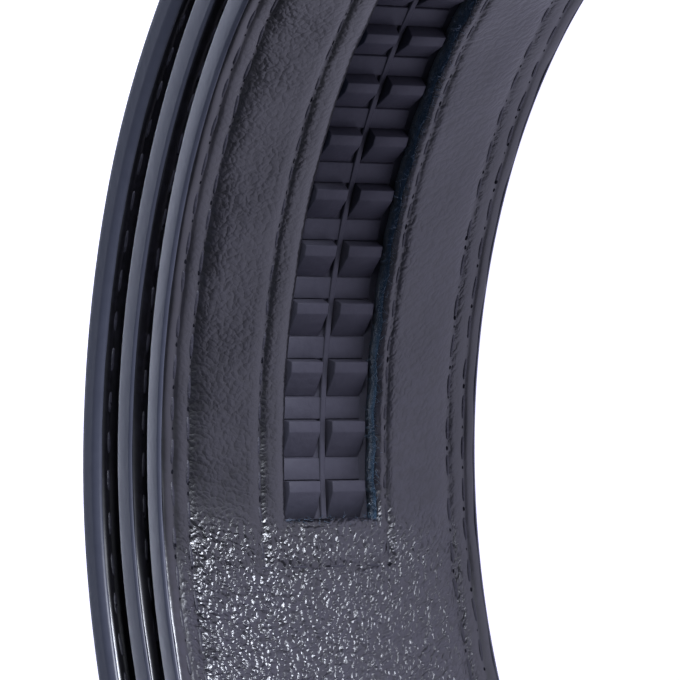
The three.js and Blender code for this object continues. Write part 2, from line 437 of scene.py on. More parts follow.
# Raw cut leather, dyed through in blue: loose matt fibres.
def makeCutLeather():
    material, tree, shader = newMaterial("cutLeatherFibre")
    clumps = noise(tree, objectPlace(tree), 1500.0, Detail=5.0, Roughness=0.7)[0]
    twoTone(tree, shader, clumps, "#1b2d3d", "#3f6480")
    dented(tree, shader, clumps, 0.25)
    shader.inputs["Roughness"].default_value = 0.95
    shader.inputs["Sheen Weight"].default_value = 0.4
    return material


# Zinc die casting, brushed and plated: satin grey metal, its lines along the strap.
def makeBrushedMetal():
    material, tree, shader = newMaterial("brushedPlatedZinc")
    lines = addNode(tree, "ShaderNodeMapping",
                    {"Vector": objectPlace(tree), "Scale": (60, 900, 9000)})
    brush = noise(tree, lines.outputs[0], 1.0, Detail=3.0)[0]
    roughBetween(tree, shader, brush, 0.22, 0.42)
    dented(tree, shader, brush, 0.01)
    shader.inputs["Base Color"].default_value = linear("#86868c")
    shader.inputs["Metallic"].default_value = 1.0
    return material


liningLeather = makeLeather("pebbledLiningLeather", leather["pebble"])
faceLeather = makeLeather("pebbledFaceLeather", leather["faceTint"])
edgePaint = makeEdgePaint()
nylon = makeNylon()
thread = makeThread()
holeShadeMaterial = makeHoleShade()
cutLeather = makeCutLeather()
brushedMetal = makeBrushedMetal()
print("materials made")


trackEnd = track["start"] + track["teeth"] * track["pitch"]
windowStart = track["start"] - window["endMargin"]
windowEnd = trackEnd + window["endMargin"]
rowEnd = windowEnd + windowStart - window["rowStart"]

# Painted edge: one film that follows the strap's whole outline and wraps both plies.
# The lining's corner is rounded before painting, by hand, so the radius drifts.
edge = {
    "step": 1.2,
    "film": 0.07,
    "lip": 62,             # degrees of the rounded corner that the film covers
    "crown": 0.05,
    "outerRound": 0.42,
    # turns, the corner's radius and how far the flat leans outward, in mm
    "rounding": [(-0.2, 0.6, 0.12), (0.25, 0.6, 0.12), (0.9, 0.55, 0), (1.25, 0.55, 0),
                 (1.85, 1.35, -0.14), (2.5, 1.3, -0.14)],
}

lining = {
    "depth": 2.3,          # down to the track's base
    "step": 0.98,
    "fineStep": 0.3,       # beside the window's ends
    "fineLength": 4.2,
    "padRise": 2.0,        # from the seams up to the soft pad beside the window
    "edgeDip": 0.15,       # pressed-down border at each edge
    "welt": 0.14,          # its rise again toward the edge
    "weltCrest": 0.6,
    "overhang": 0.22,      # of the window's ends over the first and last teeth
    "lip": 0.35,           # curled border of the window
    "lipWidth": 0.9,
    # soft waves of the leather: height in mm, turn per mm along and across
    "waves": [(0.05, 0.41, 0.6), (0.04, 0.93, -0.33)],
}

# Grain as shares of its full height, painted shade as shares of the darkest, places in mm.
grainAndShade = {
    "creasedGrain": 0.42,  # the strap creases between its tip and the window
    "creasedTo": 46,
    "creaseFade": 8,
    "restGrain": 0.12,
    "borderGrain": 0.1,    # pressed nearly flat, as a share of the grain beside it
    "borderEnd": 1.5,
    "borderFade": 1.4,
    "coveredFrom": 0.8,    # turns that lie under others
    "coveredFade": 0.2,
    "coveredLoss": 0.7,
    # painted shade on the covered turns, in the gaps between them
    "coveredPaintedShade": 0.12,
    # painted shade in the sunken stitch and seam grooves
    "rowPaintedShade": 0.7,
    "seamPaintedShade": 0.45,
    "seamWidth": 0.3,
    # painted shade along the lower border
    "lowBorder": 3.3,
    "lowPaintedShade": 0.5,
    # painted shade over the upper pad beside the window
    "padFrom": 12,
    "padFade": 8,
    "padPaintedShade": 0.95,
    "padStart": 40,
}


def rowGroove(length, height):
    # sunken line of the rectangle's stitches
    low, high, width = window["rowLow"], window["rowHigh"], window["rowWidth"]
    dip = 0
    past, endPast = window["rowPast"], window["rowEndPast"]
    if window["rowStart"] - past < length < rowEnd + past:
        dip = max(bump(height - low, width), bump(height - high, width))
    if low - endPast < height < high + endPast:
        dip = max(dip, bump(length - window["rowStart"], width), bump(length - rowEnd, width))
    return dip


def seamRelief(toEdge):
    # depth of the surface below its crown, from the edge inward: a welt, then the pad
    relief = lining["edgeDip"] * (1 - ease((toEdge - seam["rows"][1]) / lining["padRise"]))
    crest = lining["weltCrest"]
    relief -= lining["welt"] * (1 - ease((toEdge - crest) / (seam["rows"][1] - crest)))
    for row in seam["rows"]:
        relief += seam["grooveDepth"] * bump(toEdge - row, seam["grooveWidth"])
    return relief


def roundingAt(length):
    # corner radius and lean of the strap's edges
    turns = np.interp(length, course["run"], course["turns"])
    places, radii, leans = zip(*edge["rounding"])
    return float(np.interp(turns, places, radii)), float(np.interp(turns, places, leans))


def liningRelief(length, height):
    toEdge = min(height, strap["width"] - height)
    relief = seamRelief(toEdge) + window["rowDepth"] * rowGroove(length, height)
    r, _ = roundingAt(length)
    if toEdge < r:
        relief += r - math.sqrt(r * r - (r - toEdge) ** 2)
    beyondEnd = max(windowStart - length, length - windowEnd, 0)
    beyondSide = max(window["low"] - height, height - window["high"], 0)
    toWindow = math.hypot(beyondEnd, beyondSide)
    relief += lining["lip"] * (1 - ease(toWindow / lining["lipWidth"]))
    return relief + sum(rise * math.sin(length * along + height * across)
                        for rise, along, across in lining["waves"])


def coveredAt(length):
    # 0 on the turn that shows, 1 on the turns that lie under others
    turns = np.interp(length, course["run"], course["turns"])
    return ease((turns - grainAndShade["coveredFrom"]) / grainAndShade["coveredFade"])


def grainAt(length, height):
    toEdge = min(height, strap["width"] - height)
    creased = grainAndShade["creasedGrain"] * (1 - ease((length - grainAndShade["creasedTo"]) / grainAndShade["creaseFade"]))
    depth = max(grainAndShade["restGrain"], creased)
    depth *= 1 - grainAndShade["coveredLoss"] * coveredAt(length)
    inside = ease((toEdge - grainAndShade["borderEnd"]) / grainAndShade["borderFade"])
    return depth * (grainAndShade["borderGrain"] + (1 - grainAndShade["borderGrain"]) * inside)


def paintedShadeAt(length, height):
    # painted shade in the grooves, on the lower border, over the upper pad and on the covered turns
    toEdge = min(height, strap["width"] - height)
    stain = grainAndShade["rowPaintedShade"] * rowGroove(length, height)
    for row in seam["rows"]:
        stain = max(stain, grainAndShade["seamPaintedShade"] * bump(toEdge - row, grainAndShade["seamWidth"]))
    upward = ease((height - grainAndShade["padFrom"]) / grainAndShade["padFade"])
    pad = grainAndShade["padPaintedShade"] * upward * ease((length - grainAndShade["padStart"]) / grainAndShade["creaseFade"])
    stain = max(stain, grainAndShade["lowPaintedShade"] if height < grainAndShade["lowBorder"] else pad)
    return max(stain, grainAndShade["coveredPaintedShade"] * coveredAt(length))


def raggedEdge(length, seed):
    # hand-cut waver of the window's edges, in millimetres
    return sum(rise * math.sin(length * along + share * seed)
               for rise, along, share in window["waver"])


def liningHeights():
    # rows of points across the strap, close together at the seams and the window
    fromEdge = [strap["inset"], 0.42, 0.6, 0.8, 1.0, 1.2, 1.35, 1.5, 1.65, 1.85, 2.15, 2.5, 2.8,
                3.0, 3.2, 3.4, 3.65, 4.0, 4.4, 5.0, 6.0, 7.2, 8.4, 9.4]
    low = fromEdge + [9.8, 10.1, 10.35, 10.6, 10.9, 11.15, window["low"]]
    middle = [12.6, 14.4, 16.4, 18.4, 20.2]
    high = [window["high"], 21.7, 22.1, 22.6, 23.2, 23.6, 23.9, 24.2, 24.5, 24.9, 25.5]
    upper = [strap["width"] - h for h in reversed(fromEdge)]
    return low, middle, high + [h for h in upper if h > 25.6]


def tipLengths():
    # rows of points along the strap that follow the tip's rounded corners
    r = strap["tipRadius"]
    return [strap["inset"] + r * (1 - math.cos(math.radians(a))) for a in range(0, 90, 9)]


def liningLengths():
    step, fineStep = lining["step"], lining["fineStep"]
    fine = list(evenly(window["rowStart"] - 1.2, windowStart, fineStep))
    fineEnd = windowEnd + lining["fineLength"]
    lengths = tipLengths() + list(evenly(strap["cornersEnd"], fine[0], step)) + fine[1:]
    lengths += list(evenly(windowStart, windowEnd, step))[1:]
    lengths += list(evenly(windowEnd, fineEnd, fineStep))[1:]
    return lengths + list(evenly(fineEnd, strapLength, 2 * step))[1:]


def makeLining():
    low, middle, high = liningHeights()
    heights = low + middle + high
    count = len(heights)
    lowColumn, highColumn = len(low) - 1, len(low) + len(middle)
    lengths = liningLengths()
    middleHeight = strap["width"] / 2
    vertices, uvs, faces, walls = [], [], [], []
    marks = {"grainDepth": [], "stain": []}
    first = min(lengths, key=lambda v: abs(v - windowStart))
    final = min(lengths, key=lambda v: abs(v - windowEnd))
    overhang = {first: lining["overhang"], final: -lining["overhang"]}
    hair = 1e-6
    for length in lengths:
        squeeze = 1 - 2 * tipInset(length) / strap["width"]
        inWindow = windowStart - hair <= length <= windowEnd + hair
        for side in range(2):
            for column, height in enumerate(heights):
                place = height
                if inWindow and column == lowColumn:
                    waver = raggedEdge(length, window["lowSeed"])
                    place += waver * (window["backShare"] if side else 1)
                if inWindow and column == highColumn:
                    place += window["highShare"] * raggedEdge(length, window["highSeed"])
                shift = 0
                if side == 0 and lowColumn < column < highColumn:
                    shift = overhang.get(length, 0)
                depth = liningRelief(length, height) if side == 0 else lining["depth"]
                raised = middleHeight + (place - middleHeight) * squeeze
                vertices.append(strapPoint(length + shift, depth, raised))
                uvs.append((length / 10, height / 10 + side * strap["backShift"]))
                marks["grainDepth"].append(grainAt(length, height))
                # painted shade, for the leather's colour
                marks["stain"].append(paintedShadeAt(length, height))
    stride = 2 * count
    startRow, endRow = lengths.index(first), lengths.index(final)
    for row in range(len(lengths) - 1):
        here, there = row * stride, (row + 1) * stride
        for column in range(count - 1):
            if startRow <= row < endRow and lowColumn <= column < highColumn:
                continue
            a, b = here + column, there + column
            faces.append((a, b, b + 1, a + 1))
            faces.append((a + count, a + count + 1, b + count + 1, b + count))
        faces.append((here, here + count, there + count, there))
        top = count - 1
        faces.append((here + top, there + top, there + top + count, here + top + count))
        if startRow <= row < endRow:
            walls.append((here + lowColumn, there + lowColumn, there + lowColumn + count,
                          here + lowColumn + count))
            walls.append((here + highColumn, here + highColumn + count, there + highColumn + count,
                          there + highColumn))
    last = (len(lengths) - 1) * stride
    for column in range(count - 1):
        faces.append((column, column + 1, column + 1 + count, column + count))
        a = last + column
        faces.append((a, a + count, a + 1 + count, a + 1))
    for row, flip in ((startRow, False), (endRow, True)):
        for column in range(lowColumn, highColumn):
            a = row * stride + column
            wall = (a, a + count, a + 1 + count, a + 1)
            walls.append(tuple(reversed(wall)) if flip else wall)
    piece = meshPiece("strapLining", vertices, faces + walls, uvs, marks)
    piece.data.materials.append(liningLeather)
    piece.data.materials.append(cutLeather)      # the window's cut walls
    slots = np.zeros(len(piece.data.polygons), dtype=np.int32)
    slots[len(faces):] = 1
    piece.data.polygons.foreach_set("material_index", slots)
    tidyNormals(piece)
    return piece


def tidyNormals(piece):
    sheet = bmesh.new()
    sheet.from_mesh(piece.data)
    bmesh.ops.recalc_face_normals(sheet, faces=sheet.faces)
    sheet.to_mesh(piece.data)
    sheet.free()


face = {
    "innerDepth": 2.65,
    "step": 1.3,
    "reliefShare": 0.75,   # of the lining's seam grooves and border
    "rimRound": 0.3,
    "rimWidth": 0.8,
    "grain": 0.25,         # more than at the borders
    "borderGrain": 0.1,
    "borderEnd": 1.2,
    "borderFade": 1.6,
    # painted shade in the seam grooves
    "seamPaintedShade": 0.5,
    "uvShift": 37,         # cm, for a grain of its own
}


def faceDepth(height):
    toEdge = min(height, strap["width"] - height)
    rim = face["rimRound"] * (1 - ease(toEdge / face["rimWidth"])) ** 2
    return strap["thickness"] - face["reliefShare"] * seamRelief(toEdge) - rim


def faceHeights():
    near = [strap["inset"], 0.45, 0.7, 1.0, 1.25, 1.5, 1.75, 2.1, 2.5, 2.85, 3.2, 3.55, 4.0,
            4.6, 6.0]
    return near + [9.0, 13.0, 17.5, 22.0, 26.0] + [strap["width"] - h for h in reversed(near)]


def closeStrip(count, rows):
    # faces of a closed band: its two sides, its two edges and its two ends
    stride = 2 * count
    faces = []
    for row in range(rows - 1):
        a, b = row * stride, (row + 1) * stride
        for column in range(count - 1):
            faces.append((a + column, a + column + 1, b + column + 1, b + column))
            faces.append((a + count + column, b + count + column, b + count + column + 1,
                          a + count + column + 1))
        faces.append((a, b, b + count, a + count))
        faces.append((a + count - 1, a + stride - 1, b + stride - 1, b + count - 1))
    last = (rows - 1) * stride
    for column in range(count - 1):
        faces.append((column, column + count, column + count + 1, column + 1))
        a = last + column
        faces.append((a, a + 1, a + count + 1, a + count))
    return faces


def makeFace():
    heights = faceHeights()
    lengths = tipLengths() + list(evenly(strap["cornersEnd"], strapLength, face["step"]))
    vertices, uvs = [], []
    marks = {"grainDepth": [], "stain": []}
    middle = strap["width"] / 2
    for length in lengths:
        squeeze = 1 - 2 * tipInset(length) / strap["width"]
        for side in range(2):
            for height in heights:
                depth = face["innerDepth"] if side else faceDepth(height)
                vertices.append(strapPoint(length, depth, middle + (height - middle) * squeeze))
                uvs.append((length / 10 + face["uvShift"], height / 10 + side * strap["backShift"]))
                toEdge = min(height, strap["width"] - height)
                inside = ease((toEdge - face["borderEnd"]) / face["borderFade"])
                marks["grainDepth"].append(face["borderGrain"] + face["grain"] * inside)
                # painted shade in the seam grooves
                seamNear = max(bump(toEdge - row, grainAndShade["seamWidth"]) for row in seam["rows"])
                marks["stain"].append(face["seamPaintedShade"] * seamNear)
    piece = meshPiece("strapFace", vertices, closeStrip(len(heights), len(lengths)), uvs, marks)
    piece.data.materials.append(faceLeather)
    tidyNormals(piece)
    return piece


def outlinePoints():
    # (length, height) with the direction out of the leather, from buckle to buckle
    width, r = strap["width"], strap["tipRadius"]
    points = [(length, width, 0, 1) for length in reversed(evenly(r, strapLength, edge["step"]))]
    for angle in range(84, 0, -6):
        c, s = math.cos(math.radians(angle)), math.sin(math.radians(angle))
        points.append((r - r * c, width - r + r * s, -c, s))
    points += [(0, height, -1, 0) for height in evenly(width - r, r, 1.5)]
    for angle in range(-6, -90, -6):
        c, s = math.cos(math.radians(angle)), math.sin(math.radians(angle))
        points.append((r - r * c, r + r * s, -c, s))
    return points + [(length, 0, 0, -1) for length in evenly(r, strapLength, edge["step"])]


def edgeSection(r, lean, crown):
    # (depth, distance in from the outline) round the film, at a corner of radius r
    section = []
    film = edge["film"]
    for angle, proud in ((edge["lip"] + 4, -0.06), (edge["lip"], film), (50, film), (35, film),
                         (20, film / 2), (8, 0), (0, 0)):
        a = math.radians(angle)
        section.append((r - (r + proud) * math.sin(a), r - (r + proud) * math.cos(a)))
    thick, outer = strap["thickness"], edge["outerRound"]
    section += [((r + thick) / 2, lean / 2 - crown)]
    for angle in (0, 8, 16, 24, 34, 50, 70):
        a = math.radians(angle)
        section.append((thick - outer + (outer + 0.02) * math.sin(a),
                        lean + outer - (outer + 0.02) * math.cos(a)))
    return section + [(thick + 0.01, 0.55), (thick - 0.35, 0.75), (thick / 2, 0.6)]


def makeEdge():
    vertices, uvs, faces = [], [], []
    outline = outlinePoints()
    run = 0
    for i, (length, height, dl, dh) in enumerate(outline):
        if i:
            run += math.hypot(length - outline[i - 1][0], height - outline[i - 1][1])
        r, lean = roundingAt(length)
        # the upper edge leans and is crowned, the lower one stands flat on the floor
        section = edgeSection(r, lean, edge["crown"]) if dh > 0 else edgeSection(r, 0, 0)
        for depth, inward in section:
            vertices.append(strapPoint(length - dl * inward, depth, height - dh * inward))
            uvs.append((run / 10, depth / 10))
    count = len(section)
    for row in range(len(outline) - 1):
        for column in range(count):
            a = row * count + column
            b = row * count + (column + 1) % count
            faces.append((a, b, b + count, a + count))
    last = (len(outline) - 1) * count
    faces.append(tuple(range(count - 1, -1, -1)))
    faces.append(tuple(last + c for c in range(count)))
    piece = meshPiece("edgePaint", vertices, faces, uvs)
    piece.data.materials.append(edgePaint)
    tidyNormals(piece)
    return piece


liningPiece = makeLining()
facePiece = makeFace()
edgePiece = makeEdge()
print("strap made:", round(strapLength), "mm long")


# Geometry Nodes: one small piece set evenly along a path, its X along the path and its
# Z on the surface's normal, with a seeded turn and size.
def rowTree():
    tree = bpy.data.node_groups.new("rowAlongPath", "GeometryNodeTree")
    kinds = {"Geometry": "Geometry", "Piece": "Object", "Pitch": "Float", "Turn": "Vector",
             "Smallest": "Float", "Scatter": "Vector", "Seed": "Int", "Material": "Material"}
    for name, kind in kinds.items():
        tree.interface.new_socket(name, in_out="INPUT", socket_type="NodeSocket" + kind)
    tree.interface.new_socket("Geometry", in_out="OUTPUT", socket_type="NodeSocketGeometry")

    def within(limit):
        # a random vector between minus and plus the limit
        return addNode(tree, "FunctionNodeRandomValue",
                       {"Min": scaled(tree, limit, -1.0), "Max": limit}, data_type="FLOAT_VECTOR")

    given = tree.nodes.new("NodeGroupInput").outputs
    curve = addNode(tree, "GeometryNodeMeshToCurve", {"Mesh": given["Geometry"]})
    spaced = addNode(tree, "GeometryNodeResampleCurve",
                     {"Curve": curve.outputs[0], "Length": given["Pitch"]}, mode="LENGTH")
    along = addNode(tree, "GeometryNodeInputTangent")
    normal = addNode(tree, "GeometryNodeInputNamedAttribute", {"Name": "surfaceNormal"},
                     data_type="FLOAT_VECTOR")
    facing = addNode(tree, "FunctionNodeAxesToRotation",
                     {"Primary Axis": normal.outputs[0], "Secondary Axis": along.outputs[0]},
                     primary_axis="Z", secondary_axis="X")
    turn = within(given["Turn"])
    tree.links.new(given["Seed"], turn.inputs["Seed"])
    spin = addNode(tree, "FunctionNodeEulerToRotation", {0: turn.outputs["Value"]})
    turned = addNode(tree, "FunctionNodeRotateRotation",
                     {"Rotation": facing.outputs[0], "Rotate By": spin.outputs[0]},
                     rotation_space="LOCAL")
    size = addNode(tree, "FunctionNodeRandomValue", data_type="FLOAT")
    sizeSockets = [s for s in size.inputs if s.type == "VALUE"]
    tree.links.new(given["Smallest"], sizeSockets[0])
    sizeSockets[1].default_value = 1.0
    tree.links.new(given["Seed"], size.inputs["Seed"])
    source = addNode(tree, "GeometryNodeObjectInfo", {"Object": given["Piece"]})
    sizeOut = [s for s in size.outputs if s.type == "VALUE"][0]
    copies = addNode(tree, "GeometryNodeInstanceOnPoints",
                     {"Points": spaced.outputs[0], "Instance": source.outputs["Geometry"],
                      "Rotation": turned.outputs[0], "Scale": sizeOut})
    moved = addNode(tree, "GeometryNodeTranslateInstances",
                    {"Instances": copies.outputs[0],
                     "Translation": within(given["Scatter"]).outputs["Value"]})
    solid = addNode(tree, "GeometryNodeRealizeInstances", {"Geometry": moved.outputs[0]})
    painted = addNode(tree, "GeometryNodeSetMaterial",
                      {"Geometry": solid.outputs[0], "Material": given["Material"]})
    result = tree.nodes.new("NodeGroupOutput")
    tree.links.new(painted.outputs[0], result.inputs[0])
    return tree


rowNodes = rowTree()


def rowPiece(name, paths, source, pitch, material, turn=(0, 0, 0), smallest=1.0,
             scatter=(0, 0, 0), seed=1):
    # paths: lists of (length, depth, height); every path is an open line of edges. Copies
    # stand on the lining's side or the face's, whichever is nearer, and teeth inward.
    vertices, edges, normals = [], [], []
    for path in paths:
        first = len(vertices)
        for length, depth, height in path:
            vertices.append(strapPoint(length, depth, height))
            _, _, outward = frameAt(length)
            inward = depth < strap["thickness"] / 2 or source.name == "toothUnit"
            normals.append(-outward if inward else outward)
        edges += [(k, k + 1) for k in range(first, len(vertices) - 1)]
    mesh = bpy.data.meshes.new(name + "Path")
    mesh.from_pydata(vertices, edges, [])
    attribute = mesh.attributes.new("surfaceNormal", "FLOAT_VECTOR", "POINT")
    attribute.data.foreach_set("vector", [value for normal in normals for value in normal])
    holder = newObject(name + "Path", mesh)
    modifier = holder.modifiers.new("rowAlongPath", "NODES")
    modifier.node_group = rowNodes
    values = {"Piece": source, "Pitch": pitch * mm, "Turn": turn, "Smallest": smallest,
              "Scatter": tuple(value * mm for value in scatter), "Seed": seed, "Material": material}
    for socket in rowNodes.interface.items_tree:
        if socket.in_out == "INPUT" and socket.name in values:
            modifier[socket.identifier] = values[socket.name]
    evaluated = holder.evaluated_get(bpy.context.evaluated_depsgraph_get())
    result = bpy.data.meshes.new_from_object(evaluated)
    result.name = name
    result.shade_smooth()
    bpy.data.objects.remove(holder)
    return newObject(name, result)


def sourceObject(name, mesh):
    piece = newObject(name, mesh)
    piece.hide_render = True
    return piece


def capsuleMesh(name, length, width, height, rings=5, sides=6):
    # a lying, rounded thread segment with pointed ends
    vertices, faces = [], []
    for ring in range(1, rings):
        angle = math.pi * ring / rings
        x = -length / 2 * math.cos(angle) * mm
        r = math.sin(angle) ** 0.6
        for side in range(sides):
            turn = 2 * math.pi * side / sides
            vertices.append((x, width / 2 * r * math.cos(turn) * mm,
                             height / 2 * r * math.sin(turn) * mm))
    for ring in range(rings - 2):
        for side in range(sides):
            a, b = ring * sides + side, ring * sides + (side + 1) % sides
            faces.append((a, b, b + sides, a + sides))
    first, last = len(vertices), len(vertices) + 1
    vertices += [(-length / 2 * mm, 0, 0), (length / 2 * mm, 0, 0)]
    end = (rings - 2) * sides
    for side in range(sides):
        nextSide = (side + 1) % sides
        faces.append((first, nextSide, side))
        faces.append((last, end + side, end + nextSide))
    mesh = bpy.data.meshes.new(name)
    mesh.from_pydata(vertices, [], faces)
    return mesh


stitch = {
    "sink": 0.06,
    "pathStep": 2.0,
    "windowStep": 1.5,
    "windowEndStep": 0.8,
    "threadEndShadowShift": 1.1,
    # length, width and height of each small piece
    "pieces": {
        "threadSegment": (2.7, 0.5, 0.3),
        "shortSegment": (2.0, 0.42, 0.3),
        # dark pieces for the painted shade in the needle and awl holes
        "needleHole": (0.55, 0.42, 0.16),
        "awlHole": (0.85, 0.7, 0.2),
        # dark piece: the painted shadow of a thread's end
        "needlePrick": (0.6, 0.36, 0.14),
    },
}


def seamPaths(onFace, shift):
    paths = []
    for rowNumber, row in enumerate(seam["rows"]):
        for height in (row, strap["width"] - row):
            start = seam["start"] + shift + rowNumber * seam["pitch"] / 2
            path = []
            for length in evenly(start, strapLength - seam["endMargin"], stitch["pathStep"]):
                if onFace:
                    depth = faceDepth(height) - stitch["sink"]
                else:
                    depth = liningRelief(length, height) + stitch["sink"]
                path.append((length, depth, height))
            paths.append(path)
    return paths


def windowPaths(shift):
    low, high, start = window["rowLow"], window["rowHigh"], window["rowStart"]

    def sunk(length, height):
        return length, liningRelief(length, height) + stitch["sink"], height

    lengths = evenly(start + shift, rowEnd, stitch["windowStep"])
    sides = [[sunk(length, height) for length in lengths] for height in (high, low)]
    heights = evenly(low + shift, high, stitch["windowEndStep"])
    return sides + [[sunk(place, height) for height in heights] for place in (start, rowEnd)]


def makeStitches():
    made = {name: sourceObject(name, capsuleMesh(name, *size))
            for name, size in stitch["pieces"].items()}
    pitch, windowPitch = seam["pitch"], window["stitchPitch"]
    segment, holeShade = made["threadSegment"], made["needleHole"]
    pieces = [
        rowPiece("seamStitches", seamPaths(False, pitch / 2), segment, pitch, thread,
                 turn=(0, 0.02, 0.06)),
        # dark pieces in the needle holes: painted shade
        rowPiece("seamHoles", seamPaths(False, 0), holeShade, pitch, holeShadeMaterial, turn=(0, 0, 0.2)),
        # dark pieces beside the thread ends: painted shadow
        rowPiece("seamPricks", seamPaths(False, stitch["threadEndShadowShift"]), made["needlePrick"], pitch,
                 holeShadeMaterial, smallest=0.6, turn=(0, 0, 0.4), scatter=(0.15, 0.15, 0.1), seed=3),
        rowPiece("faceStitches", seamPaths(True, pitch / 2), segment, pitch, thread,
                 turn=(0, 0.02, 0.06)),
        rowPiece("faceHoles", seamPaths(True, 0), holeShade, pitch, holeShadeMaterial, turn=(0, 0, 0.2)),
        rowPiece("windowStitches", windowPaths(windowPitch / 2), made["shortSegment"],
                 windowPitch, thread, turn=(0, 0.05, 0.1)),
        rowPiece("windowHoles", windowPaths(0), made["awlHole"], windowPitch, holeShadeMaterial,
                 turn=(0, 0, 0.3), smallest=0.75, seed=8),
    ]
    for source in made.values():
        bpy.data.objects.remove(source)
    return pieces


stitchPieces = makeStitches()
print("stitches made")


# Track: teeth in two columns, a bar across the floor between them, and a rib along it.
def prism(sheet, profile, low, high):
    # profile: (along, rise) corners, counterclockwise seen from the lower edge
    lower = [sheet.verts.new((x * mm, low * mm, z * mm)) for x, z in profile]
    upper = [sheet.verts.new((x * mm, high * mm, z * mm)) for x, z in profile]
    count = len(profile)
    sheet.faces.new(lower)
    sheet.faces.new(list(reversed(upper)))
    for k in range(count):
        n = (k + 1) % count
        sheet.faces.new((lower[n], lower[k], upper[k], upper[n]))


def toothUnit():
    # one pitch of both columns, its X along the strap and its Z into the roll
    pitch = track["pitch"]
    top, sunk = track["toothHeight"], -track["footDepth"]
    middle = pitch / 2
    foot, crest, slope, barStart = (track[key] * pitch - middle for key in
                                    ("crestFoot", "crestEnd", "slopeEnd", "barStart"))
    tooth = [(-middle, 0.0), (-middle, sunk), (foot, sunk), (crest, top), (slope, top)]
    bar = [(barStart, sunk), (pitch - middle, sunk), (pitch - middle, track["barHeight"]),
           (barStart, track["barHeight"])]
    sheet = bmesh.new()
    for low, high in (track["lowerColumn"], track["upperColumn"]):
        prism(sheet, tooth, low, high)
    prism(sheet, bar, *track["bar"])
    bmesh.ops.recalc_face_normals(sheet, faces=sheet.faces)
    bmesh.ops.bevel(sheet, geom=list(sheet.edges), offset=track["toothRound"] * mm,
                    offset_type="OFFSET", segments=2, profile=0.5, affect="EDGES")
    mesh = bpy.data.meshes.new("toothUnit")
    sheet.to_mesh(mesh)
    sheet.free()
    return mesh


def sweptBar(start, end, corners):
    # closed bar along the strap; corners are (depth, height)
    lengths = evenly(start, end, track["step"])
    count = len(corners)
    last = (len(lengths) - 1) * count
    vertices = [strapPoint(length, depth, height)
                for length in lengths for depth, height in corners]
    faces = [tuple(range(count)), tuple(last + c for c in reversed(range(count)))]
    for row in range(len(lengths) - 1):
        for column in range(count):
            a, b = row * count + column, row * count + (column + 1) % count
            faces.append((a, a + count, b + count, b))
    return vertices, faces


def makeTrack():
    depth = track["floorDepth"]
    source = sourceObject("toothUnit", toothUnit())
    firstMiddle = track["start"] + track["pitch"] / 2
    lastMiddle = firstMiddle + (track["teeth"] - 1) * track["pitch"]
    path = [(length, depth, 0)
            for length in np.linspace(firstMiddle, lastMiddle, track["teeth"])]
    teeth = rowPiece("ratchetTeeth", [path], source, track["pitch"], nylon)
    bpy.data.objects.remove(source)
    margin, past, soft = track["baseMargin"], track["ribPast"], track["ribRound"]
    low, high = window["low"] - margin, window["high"] + margin
    groove = depth + track["grooveDepth"]
    under = groove + track["baseThickness"]
    vertices, faces = sweptBar(windowStart - margin, windowEnd + margin,
                               [(groove, low), (groove, high), (under, high), (under, low)])
    ribLow, ribHigh = track["rib"]
    top, foot = depth - track["ribHeight"], groove + track["ribFoot"]
    ribVertices, ribFaces = sweptBar(track["start"] - past, trackEnd + past, [
        (top + soft, ribLow), (top, ribLow + soft), (top, ribHigh - soft), (top + soft, ribHigh),
        (foot, ribHigh), (foot, ribLow)])
    offset = len(vertices)
    vertices += ribVertices
    faces += [tuple(index + offset for index in corners) for corners in ribFaces]
    base = meshPiece("trackBase", vertices, faces)
    base.data.materials.append(nylon)
    tidyNormals(base)
    base.data.shade_flat()
    return teeth, base


teethPiece, basePiece = makeTrack()
print("track made")


# Loose blue fibres on the window's cut edges, of the leather's raw inside.
fibre = {
    "length": 0.9,
    "thickness": 0.035,
    "bend": 0.35,          # share of its length
    "taper": 0.75,
    "pitch": 0.16,
    "rings": 4,
    # depth of each row in the cut, and how far it stands out
    "rows": [(0.35, 0.0), (0.8, 0.1), (1.4, 0.1)],
    "pathStep": 0.5,
}


def fibreMesh():
    vertices, faces = [], []
    rings = fibre["rings"]
    for ring in range(rings + 1):
        share = ring / rings
        bend = fibre["bend"] * fibre["length"] * share ** 2
        r = fibre["thickness"] * (1 - fibre["taper"] * share)
        for side in range(3):
            turn = 2 * math.pi * side / 3
            vertices.append(((bend + r * math.cos(turn)) * mm, r * math.sin(turn) * mm,
                             fibre["length"] * share * mm))
    for ring in range(rings):
        for side in range(3):
            a, b = ring * 3 + side, ring * 3 + (side + 1) % 3
            faces.append((a, b, b + 3, a + 3))
    faces += [(2, 1, 0), (rings * 3, rings * 3 + 1, rings * 3 + 2)]
    mesh = bpy.data.meshes.new("fibre")
    mesh.from_pydata(vertices, [], faces)
    return mesh


def makeFibres():
    source = sourceObject("fibre", fibreMesh())
    paths, step = [], fibre["pathStep"]
    for depth, out in fibre["rows"]:
        lengths = evenly(windowStart + depth * 0.1, windowEnd, step)
        paths.append([(length, depth, window["low"] + raggedEdge(length, window["lowSeed"]) + out)
                      for length in lengths])
    paths.append([(windowStart + 0.1, 0.5, height)
                  for height in evenly(window["low"], window["high"], step)])
    piece = rowPiece("cutEdgeFibres", paths, source, fibre["pitch"], cutLeather,
                     turn=(1.3, 1.3, 3.1), smallest=0.4, scatter=(0.08, 0.08, 0.12), seed=5)
    bpy.data.objects.remove(source)
    return piece


fibrePiece = makeFibres()
print("fibres made")


# Buckle: the plain casting of the frame, its edges tumbled soft.
buckle = {
    "edgeRound": 0.35,
    "sharp": 30,           # degrees; flatter edges are only the casting's curves
    "shadeSharp": 40,
}


